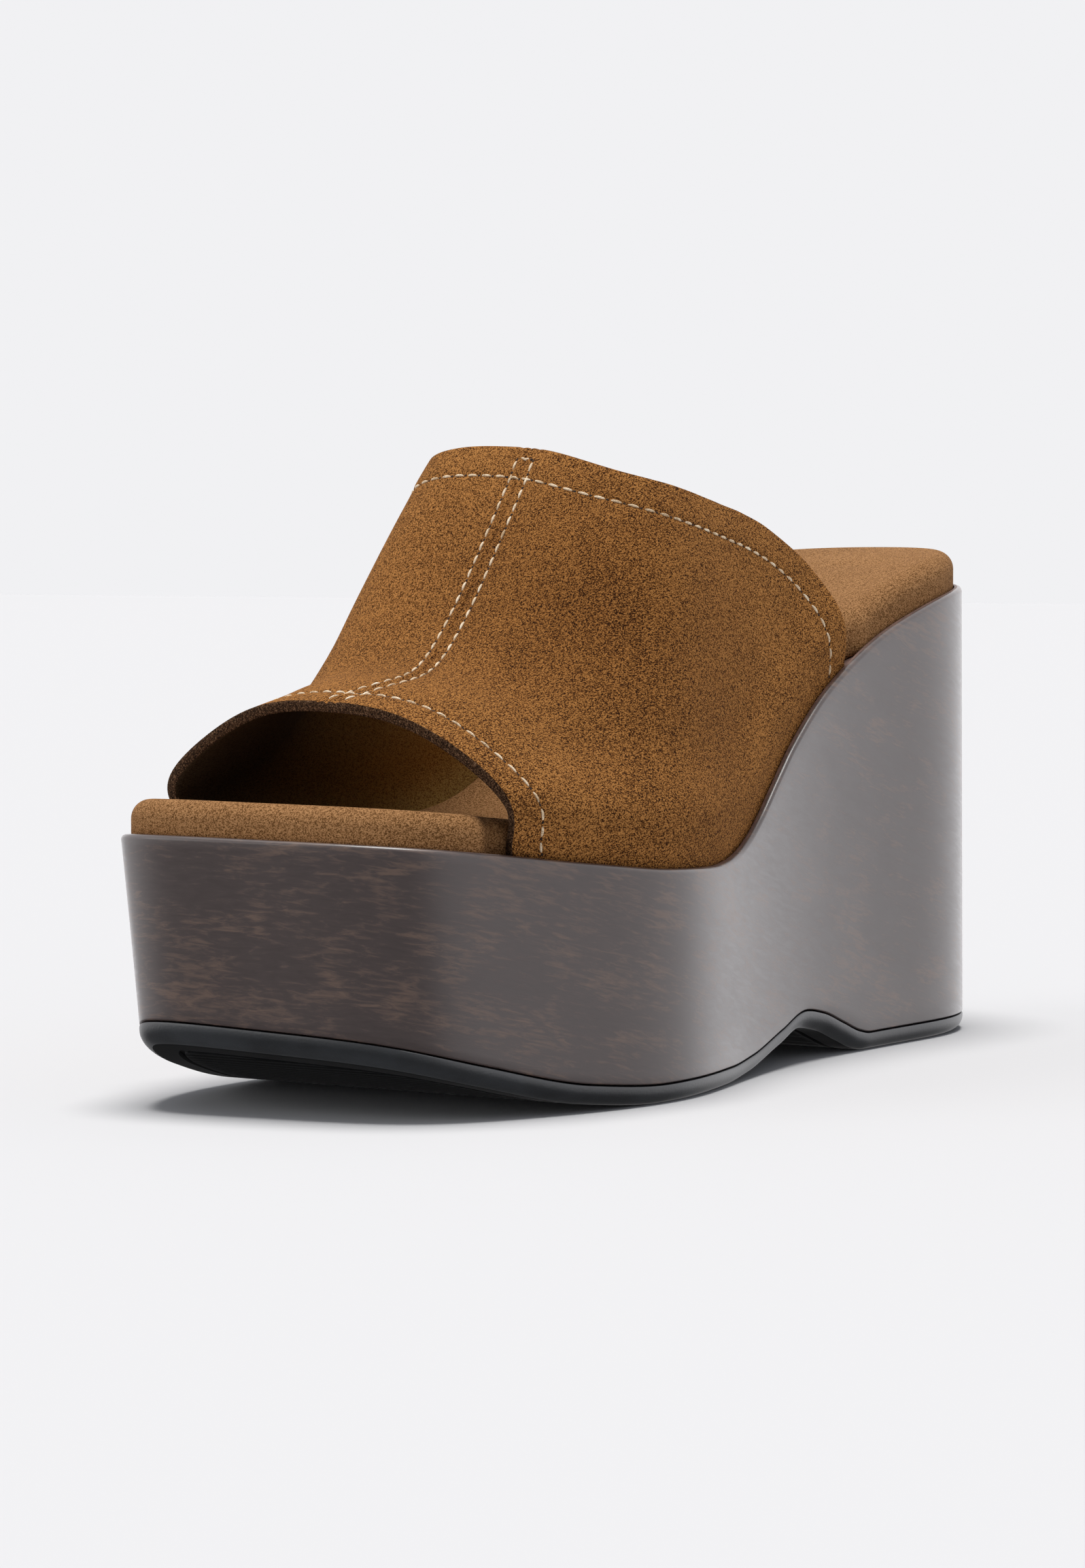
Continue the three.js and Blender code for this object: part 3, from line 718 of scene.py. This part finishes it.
def foot_offset(x, outer):
    """Sideways place of the upper's foot, just inside the lip, on the outer or inner side."""
    line = rim_points - rim_normals * (LIP_WIDTH + CLEARANCE)
    half = len(line) // 2
    outer_line = line[: half + 1]
    inner_line = line[(len(line) - np.arange(half + 1)) % len(line)]
    outer_order = np.argsort(outer_line[:, 0])
    inner_order = np.argsort(inner_line[:, 0])
    outer_y = np.interp(x, outer_line[outer_order, 0], outer_line[outer_order, 1])
    inner_y = np.interp(x, inner_line[inner_order, 0], inner_line[inner_order, 1])
    return np.where(outer, outer_y, inner_y)


def spread_steps(count, crowded):
    """Steps from 0 to 1 that lie closer together round some places. crowded lists (place, width,
    how many times closer); the steps are even shares of the summed closeness."""
    fine = np.linspace(0, 1, STEPS_FINE + 1)
    closeness = 1 + sum(times * np.exp(-(((fine - place) / width) ** 2)) for place, width, times in crowded)
    total = np.concatenate([[0], np.cumsum((closeness[1:] + closeness[:-1]) / 2)])
    return np.interp(np.linspace(0, total[-1], count + 1), total, fine)


def grid_slopes(points, along, around):
    """Slopes of a surface grid along its rows and columns, and its unit normals."""
    by_along = np.gradient(points, along, axis=0)
    by_around = np.gradient(points, around, axis=1)
    normal = np.cross(by_around, by_along)
    length = np.linalg.norm(normal, axis=-1, keepdims=True)
    return by_along, by_around, normal / length


def surface_distances(points, along, around):
    """Distances on the surface in metres: from the collar, from the toe opening, and from the
    seam with the outer side below 0. A step's part square to the line counted from is summed."""
    by_along, by_around, _ = grid_slopes(points, along, around)
    cell = np.linalg.norm(np.cross(by_along, by_around), axis=-1)
    square_to_edge = cell / np.linalg.norm(by_around, axis=-1)
    square_to_seam = cell / np.linalg.norm(by_along, axis=-1)
    steps = np.diff(along)[:, None] * (square_to_edge[1:] + square_to_edge[:-1]) / 2
    from_collar = np.vstack([np.zeros(len(around)), np.cumsum(steps, axis=0)])
    side_steps = np.diff(around)[None] * (square_to_seam[:, 1:] + square_to_seam[:, :-1]) / 2
    from_outer = np.hstack([np.zeros((len(along), 1)), np.cumsum(side_steps, axis=1)])
    middle = np.array([np.interp(0.5, around, row) for row in from_outer])[:, None]
    return from_collar, from_collar[-1] - from_collar, from_outer - middle


def dip(distance, width):
    """Bell curve of height 1 at distance 0."""
    return np.exp(-((distance / width) ** 2))


def upper_relief(from_collar, from_toe, from_seam):
    """How far the outside stands off the plain surface: the seam's valley, a channel under each
    row of stitches, and the doubled hem at the collar, which ends in a soft step."""
    off_seam = np.abs(from_seam)
    relief = -SEAM_DEPTH * dip(off_seam, SEAM_WIDTH) - ROW_DEPTH * dip(off_seam - ROW_OFFSET, ROW_WIDTH)
    relief -= ROW_DEPTH * dip(from_collar - COLLAR_HEM, ROW_WIDTH)
    relief -= ROW_DEPTH * dip(from_toe - TOE_HEM, ROW_WIDTH)
    relief += HEM_RAISE / (1 + np.exp((from_collar - COLLAR_HEM) / HEM_STEP))
    return relief


def crease_relief(points, along, around):
    """Sum of the creases: each is a bell across its width times a longer one along its length,
    measured from its middle in the surface's own directions, and fades out away from it."""
    total = np.zeros(points.shape[:2])
    by_along, _, normal = grid_slopes(points, along, around)
    for at_along, at_around, length, width, turn, depth in CREASES:
        row = np.abs(along - at_along).argmin()
        column = np.abs(around - at_around).argmin()
        forward = by_along[row, column] / np.linalg.norm(by_along[row, column])
        sideways = np.cross(normal[row, column], forward)
        offset = points - points[row, column]
        ahead = offset @ forward
        aside = offset @ sideways
        angle = np.radians(turn)
        lengthways = ahead * np.cos(angle) + aside * np.sin(angle)
        crossways = aside * np.cos(angle) - ahead * np.sin(angle)
        near = dip(offset @ normal[row, column], CREASE_REACH)
        total += depth * dip(crossways, width) * dip(lengthways, length / 2) * near
    return total


along_steps = spread_steps(STEPS_ALONG_OUTSIDE, ((0.08, 0.05, 1.6), (0.93, 0.05, 1.6)))
around_steps = spread_steps(STEPS_ROUND_UPPER, ((0.5, 0.02, 5), (0, 0.05, 1), (1, 0.05, 1)))
plain = upper_surface(along_steps[:, None], around_steps[None, :])
by_along, _, plain_normal = grid_slopes(plain, along_steps, around_steps)
from_collar, from_toe, from_seam = surface_distances(plain, along_steps, around_steps)
relief = upper_relief(from_collar, from_toe, from_seam)
relief += crease_relief(plain, along_steps, around_steps)
foot_fade = np.clip((plain[..., 2] - tray_height(plain[..., 0]) - TRAY_DEPTH) / FOOT_FADE, 0, 1)
outside = plain + plain_normal * (relief * foot_fade)[..., None]

lining_steps = np.linspace(1, 0, STEPS_ALONG_LINING + 1)
lining_rows = np.interp(lining_steps, along_steps, np.arange(len(along_steps)))
low_row = np.floor(lining_rows).astype(int).clip(0, len(along_steps) - 2)
row_share = (lining_rows - low_row)[:, None, None]
inward = plain_normal.copy()
inward[:, [0, -1], 2] = 0
inward /= np.linalg.norm(inward, axis=-1, keepdims=True)
inner_wall = plain - inward * WALL
inner_wall[:, [0, -1], 2] = tray_height(inner_wall[:, [0, -1], 0]) + CLEARANCE
lining = inner_wall[low_row] * (1 - row_share) + inner_wall[low_row + 1] * row_share


def edge_rows(start, end, outward, bow, steps):
    """Rows across the wall's thickness from one edge line to another, bowed outwards by a half
    sine of the given height."""
    share = np.linspace(0, 1, steps + 1)[:, None, None]
    return start * (1 - share) + end * share + outward * (bow * np.sin(np.pi * share))


collar_out = -by_along[0] / np.linalg.norm(by_along[0], axis=-1, keepdims=True)
toe_out = by_along[-1] / np.linalg.norm(by_along[-1], axis=-1, keepdims=True)
toe_edge = edge_rows(outside[-1], lining[0], toe_out, CUT_EDGE_BOW, STEPS_CUT_EDGE)
collar_edge = edge_rows(lining[-1], outside[0], collar_out, COLLAR_FOLD_BOW, STEPS_COLLAR_FOLD)
upper_suede = make_suede("upper_suede", (UPPER_DARK, UPPER_MIDDLE, UPPER_LIGHT))
cut_edge = make_suede("cut_edge", (EDGE_DARK, EDGE_MIDDLE, EDGE_LIGHT), EDGE_NAP, EDGE_DEPTH, EDGE_STOPS)
lining_suede = make_suede("lining_suede", (LINING_DARK, LINING_MIDDLE, LINING_LIGHT), depth=SHORT_NAP_DEPTH)
upper = add_piece(
    "upper_suede",
    [
        (outside, False, True, 0),
        (toe_edge, False, True, 1),
        (lining, False, True, 2),
        (collar_edge, False, True, 0),
        (np.stack([outside[:, 0], inner_wall[:, 0]], axis=1), False, False, 2),
        (np.stack([outside[:, -1], inner_wall[:, -1]], axis=1), False, True, 2),
    ],
    [
        # Painted shade on the outside: darker in the middle of the outer side.
        paint_shade_around(upper_suede, UPPER_PAINTED_SHADE_CENTRE, 0, UPPER_PAINTED_SHADE_TO, UPPER_PAINTED_SHADE),
        cut_edge,
        # Painted shade on the lining: darker towards the toe.
        paint_shade_around(lining_suede, LINING_PAINTED_SHADE_CENTRE, LINING_PAINTED_SHADE_FROM, LINING_PAINTED_SHADE_TO, LINING_PAINTED_SHADE),
    ],
)
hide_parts("upper")
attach(upper, "root")

# Topstitching
# Cream polyester thread, sewn through both layers by machine: one row round the collar, one round
# the toe opening, and two along the instep seam that end in a short bar near the collar's fold.
STITCH_PITCH = 0.0035
STITCH_LENGTH = 0.0026
THREAD_RADIUS = 0.00027
THREAD_RINGS = 11
THREAD_SIDES = 8
THREAD_DIVE = 0.00045
THREAD_STANDS = 0.45
ROWS_OVER_RIM = 0.0006
BAR_STEPS = 24
HOLE_RADIUS = 0.00042
HOLE_BEFORE = 0.0003
SEAM_ROWS_START = 0.0027
SEAM_ROWS_END = 0.0015
THREAD_DARK = (0.42, 0.28, 0.15, 1)
THREAD_MIDDLE = (0.8, 0.63, 0.43, 1)
THREAD_LIGHT = (0.95, 0.84, 0.66, 1)
# Painted shade: the dark inside of a needle hole, laid on a small dome at each hole.
HOLE_SHADE_COLOUR = (0.008, 0.004, 0.002, 1)
# Rings of a needle hole's dome of painted shade, as shares of its radius and heights over the suede.
HOLE_RINGS = ((1, -0.0001), (0.7, 0.00004), (0, 0.00006))


def level_line(distance, wanted):
    """Place in the outside grid, as row and column numbers, where the distance first reaches the
    wanted value going down each column."""
    row = np.argmax(distance >= wanted, axis=0).clip(1)
    column = np.arange(distance.shape[1])
    low = distance[row - 1, column]
    high = distance[row, column]
    return row - 1 + (wanted - low) / (high - low), column.astype(float)


def at_place(values, row, column):
    """Values of the outside grid between its points, weighted both ways by nearness."""
    low = np.floor(row).astype(int).clip(0, values.shape[0] - 2)
    left = np.floor(column).astype(int).clip(0, values.shape[1] - 2)
    down = (row - low).reshape(-1, *[1] * (values.ndim - 2))
    over = (column - left).reshape(-1, *[1] * (values.ndim - 2))
    near = values[low, left] * (1 - over) + values[low, left + 1] * over
    far = values[low + 1, left] * (1 - over) + values[low + 1, left + 1] * over
    return near * (1 - down) + far * down


def stitches_along(row, column, keep):
    """Middle lines of a row of stitches as (stitch, ring, XYZ), the normals there, and the places
    of the holes. They are a pitch apart by length along the line, and each dives into the surface
    at both ends as 1 less the fourth root of a half sine."""
    line = at_place(outside, row, column)[keep]
    normal = at_place(plain_normal, row, column)[keep]
    length = np.concatenate([[0], np.cumsum(np.linalg.norm(np.diff(line, axis=0), axis=1))])
    count = int(round(length[-1] / STITCH_PITCH))
    pitch = length[-1] / count
    share = np.linspace(0, 1, THREAD_RINGS)
    start = (np.arange(count) * pitch + (pitch - STITCH_LENGTH) / 2)[:, None]
    place = start + STITCH_LENGTH * share
    middle = np.stack([np.interp(place, length, line[:, axis]) for axis in range(3)], axis=-1)
    up = np.stack([np.interp(place, length, normal[:, axis]) for axis in range(3)], axis=-1)
    dive = THREAD_DIVE * (1 - np.sin(np.pi * share) ** 0.25)
    middle += up * (THREAD_RADIUS * THREAD_STANDS - dive)[None, :, None]
    before = start - HOLE_BEFORE
    ends = np.stack([np.interp(before, length, line[:, axis]) for axis in range(3)], axis=-1)
    return middle, up, ends


def thread_tubes(middle, up):
    """Tubes round the middle lines: a circle of the thread's radius in the plane of the normal
    and the sideways direction, whose radius runs out at both ends as the square root of a sine."""
    forward = np.gradient(middle, axis=1)
    aside = np.cross(forward, up)
    aside /= np.linalg.norm(aside, axis=-1, keepdims=True)
    angle = np.linspace(0, 2 * np.pi, THREAD_SIDES, endpoint=False)
    share = np.linspace(0, 1, THREAD_RINGS)
    radius = THREAD_RADIUS * np.sqrt(np.clip(np.sin(np.pi * share), 0, 1))[None, :, None, None]
    around = aside[:, :, None] * np.cos(angle)[None, None, :, None]
    around = around + up[:, :, None] * np.sin(angle)[None, None, :, None]
    return middle[:, :, None] + radius * around


def hole_caps(centres, ups):
    """Low domes of painted shade that stand for the dark needle holes: rings of shrinking radius
    round each, in the plane of two directions square to the normal."""
    aside = np.cross(ups, np.array([0.3, 0.9, 0.1]))
    aside /= np.linalg.norm(aside, axis=-1, keepdims=True)
    other = np.cross(ups, aside)
    angle = np.linspace(0, 2 * np.pi, THREAD_SIDES, endpoint=False)
    circle = aside[:, None] * np.cos(angle)[None, :, None] + other[:, None] * np.sin(angle)[None, :, None]
    shares, rises = np.array(HOLE_RINGS).T
    radii = HOLE_RADIUS * shares
    return (
        centres[:, None, None]
        + circle[:, None] * radii[None, :, None, None]
        + ups[:, None, None] * rises[None, :, None, None]
    )


def seam_row(offset):
    """Row and column numbers of the line beside the seam at a sideways offset."""
    columns = np.array([np.interp(offset, row, np.arange(len(row))) for row in from_seam])
    return np.arange(len(columns), dtype=float), columns


def all_stitches():
    """Every row of stitches: along the collar, along the toe opening, beside the seam and the bar
    across its end."""
    over_rim = plain[..., 2] - rim_height(plain[..., 0]) - ROWS_OVER_RIM
    rows = []
    for distance, hem in ((from_collar, COLLAR_HEM), (from_collar, from_collar[-1] - TOE_HEM)):
        row, column = level_line(distance, hem)
        rows.append(stitches_along(row, column, at_place(over_rim, row, column) > 0))
    for offset in (-ROW_OFFSET, ROW_OFFSET):
        row, column = seam_row(offset)
        down = at_place(from_collar, row, column)
        left = at_place(from_toe, row, column)
        rows.append(stitches_along(row, column, (down > SEAM_ROWS_START) & (left > SEAM_ROWS_END)))
    middle = len(around_steps) // 2
    grid_rows = np.arange(len(along_steps))
    bar_row = np.interp(SEAM_ROWS_START, from_collar[:, middle], grid_rows)
    ends = [np.interp(bar_row, grid_rows, seam_row(offset)[1]) for offset in (-ROW_OFFSET, ROW_OFFSET)]
    bar_column = np.linspace(ends[0], ends[1], BAR_STEPS)
    rows.append(stitches_along(np.full(BAR_STEPS, bar_row), bar_column, np.full(BAR_STEPS, True)))
    return [np.concatenate(parts) for parts in zip(*rows)]


def make_thread():
    """Matt spun thread with fine slanting twist and slightly soiled patches."""
    material, shader = start_material("stitch_thread", THREAD_MIDDLE, 0.8)
    place = add_node(material, "ShaderNodeTexCoord").outputs["Object"]
    twist = add_noise(material, place, 0.0003, 2)
    soiling = add_noise(material, place, 0.004, 2)
    tone = mix_values(material, twist, soiling, 0.5)
    colour = add_ramp(material, tone, [(0.36, THREAD_DARK), (0.5, THREAD_MIDDLE), (0.64, THREAD_LIGHT)])
    links = material.node_tree.links
    links.new(colour, shader.inputs["Base Color"])
    links.new(add_bump(material, twist, 0.0001, 0.8), shader.inputs["Normal"])
    return material


def make_hole_shade():
    """Painted shade for the dark inside of a needle hole."""
    material, shader = start_material("needle_hole_painted_shade", HOLE_SHADE_COLOUR, 1.0)
    place = add_node(material, "ShaderNodeTexCoord").outputs["Object"]
    grain = add_noise(material, place, 0.0003, 2)
    colour = add_ramp(material, grain, [(0.4, HOLE_SHADE_COLOUR), (0.75, UPPER_DARK)])
    material.node_tree.links.new(colour, shader.inputs["Base Color"])
    return material


stitch_middle, stitch_up, stitch_ends = all_stitches()
tubes = thread_tubes(stitch_middle, stitch_up)
caps = hole_caps(stitch_ends[:, 0], stitch_up[:, 0])
thread = add_piece(
    "topstitching",
    [(tube, True, False, 0) for tube in tubes] + [(cap, True, True, 1) for cap in caps],
    [make_thread(), make_hole_shade()],
)
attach(thread, "root")

# Floor, light and camera
# A plain pale studio floor under a soft overhead light, seen from the height of the shoe.
FLOOR_SIZE = 12.0
FLOOR_COLOUR = (0.718, 0.716, 0.729, 1)
BACKDROP = (0.879, 0.879, 0.896, 1)
PHOTO_FRAME = (1596, 2306)
PHOTO_FOCAL = 5356.0
PHOTO_EYE = (0.8376, 0.5423, 0.1097)
PHOTO_LOOK = 54.3
PHOTO_PITCH = 1.69
SHOE_CENTRE = (989.0, 1271.0)
CLOSER = 1.33
SENSOR = 36.0
CLIP_END = 50
KEY_TOWARDS = (0.03, 0.01, 1.0)
KEY_STRENGTH = 2.9
KEY_SOFTNESS = 30
FILL_TOWARDS = (0.8, -0.55, 0.3)
FILL_STRENGTH = 0.55
FILL_SOFTNESS = 40
ROOM_COLOUR = (0.9, 0.93, 1.0, 1)
ROOM_STRENGTH = 0.3
SWEEP_TOWARDS = 190.0
SWEEP_STRENGTH = 1.5
LIGHT_COLOUR = (1, 0.99, 0.97)
# How bright the mirrored room is, from in front of the shoe (0) to behind it (1).
SWEEP = (
    (0.0, 0.3),
    (0.15, 0.32),
    (0.28, 0.9),
    (0.44, 1.0),
    (0.6, 0.83),
    (0.71, 0.7),
    (0.885, 0.87),
    (0.97, 1.0),
)
# The mirrored room is dim below the level and grows to full strength between two slopes of view.
SWEEP_RISE = {"From Min": -0.45, "From Max": -0.15, "To Min": 0.15, "To Max": SWEEP_STRENGTH}

bpy.ops.mesh.primitive_plane_add(size=FLOOR_SIZE)
floor = bpy.context.object
floor.name = "studio_floor"
floor_material, floor_shader = start_material("studio_floor", FLOOR_COLOUR, 0.9)
floor_shader.inputs["Specular IOR Level"].default_value = 0.0
floor.data.materials.append(floor_material)
floor.visible_glossy = False

world = bpy.data.worlds.new("studio")
world.use_nodes = True
bpy.context.scene.world = world

# What glossy surfaces mirror: a bright sweep behind the shoe and a dark room in front of it.
sweep_angle = np.radians(SWEEP_TOWARDS)
towards_sweep = (np.cos(sweep_angle), np.sin(sweep_angle), 0)
direction = add_node(world, "ShaderNodeTexCoord").outputs["Generated"]
facing = add_node(
    world, "ShaderNodeVectorMath", {1: towards_sweep}, {0: direction}, operation="DOT_PRODUCT"
).outputs["Value"]
half_turn = {"From Min": -1.0, "From Max": 1.0}
behind = add_node(world, "ShaderNodeMapRange", half_turn, {"Value": facing}).outputs["Result"]
levels = [(position, (level, level * 0.99, level * 1.01, 1)) for position, level in SWEEP]
sweep = add_ramp(world, behind, levels)
height = add_node(world, "ShaderNodeSeparateXYZ", links={"Vector": direction}).outputs["Z"]
brightness = add_node(world, "ShaderNodeMapRange", SWEEP_RISE, {"Value": height}).outputs["Result"]
mirror_links = {"Color": sweep, "Strength": brightness}
mirrored = add_node(world, "ShaderNodeBackground", links=mirror_links).outputs[0]
room_values = {"Color": ROOM_COLOUR, "Strength": ROOM_STRENGTH}
room = add_node(world, "ShaderNodeBackground", room_values).outputs[0]
seen = add_node(world, "ShaderNodeBackground", {"Color": BACKDROP}).outputs[0]
ray = add_node(world, "ShaderNodeLightPath").outputs
lit_links = {0: ray["Is Glossy Ray"], 1: room, 2: mirrored}
lit = add_node(world, "ShaderNodeMixShader", links=lit_links).outputs[0]
seen_links = {0: ray["Is Camera Ray"], 1: lit, 2: seen}
choice = add_node(world, "ShaderNodeMixShader", links=seen_links).outputs[0]
world.node_tree.links.new(choice, world.node_tree.nodes["World Output"].inputs["Surface"])


def add_sun(name, towards, strength, softness):
    """A soft light from far off, shining from the direction that towards points to."""
    light = bpy.data.lights.new(name, "SUN")
    light.energy = strength
    light.angle = np.radians(softness)
    light.color = LIGHT_COLOUR
    lamp = bpy.data.objects.new(name, light)
    lamp.rotation_mode = "QUATERNION"
    lamp.rotation_quaternion = Vector(towards).to_track_quat("Z", "Y")
    bpy.context.scene.collection.objects.link(lamp)


add_sun("overhead_light", KEY_TOWARDS, KEY_STRENGTH, KEY_SOFTNESS)
add_sun("toe_side_light", FILL_TOWARDS, FILL_STRENGTH, FILL_SOFTNESS)

turn = np.radians(PHOTO_LOOK)
pitch = np.radians(PHOTO_PITCH)
forward = Vector((-np.sin(turn), -np.cos(turn), 0))
right = Vector((-np.cos(turn), np.sin(turn), 0))
ahead = forward * np.cos(pitch) + Vector((0, 0, -np.sin(pitch)))
up = right.cross(ahead)
off_centre = (np.array(SHOE_CENTRE) - np.array(PHOTO_FRAME) / 2) / PHOTO_FOCAL
aim = ahead + right * off_centre[0] - up * off_centre[1]
camera_data = bpy.data.cameras.new("photo_camera")
camera_data.sensor_width = SENSOR
camera_data.lens = PHOTO_FOCAL * CLOSER * SENSOR / max(PHOTO_FRAME)
camera_data.clip_end = CLIP_END
camera = bpy.data.objects.new("photo_camera", camera_data)
camera.location = PHOTO_EYE
camera.rotation_mode = "QUATERNION"
camera.rotation_quaternion = (-aim).to_track_quat("Z", "Y")
bpy.context.scene.collection.objects.link(camera)
bpy.context.scene.camera = camera
bpy.context.scene.view_settings.view_transform = "Standard"
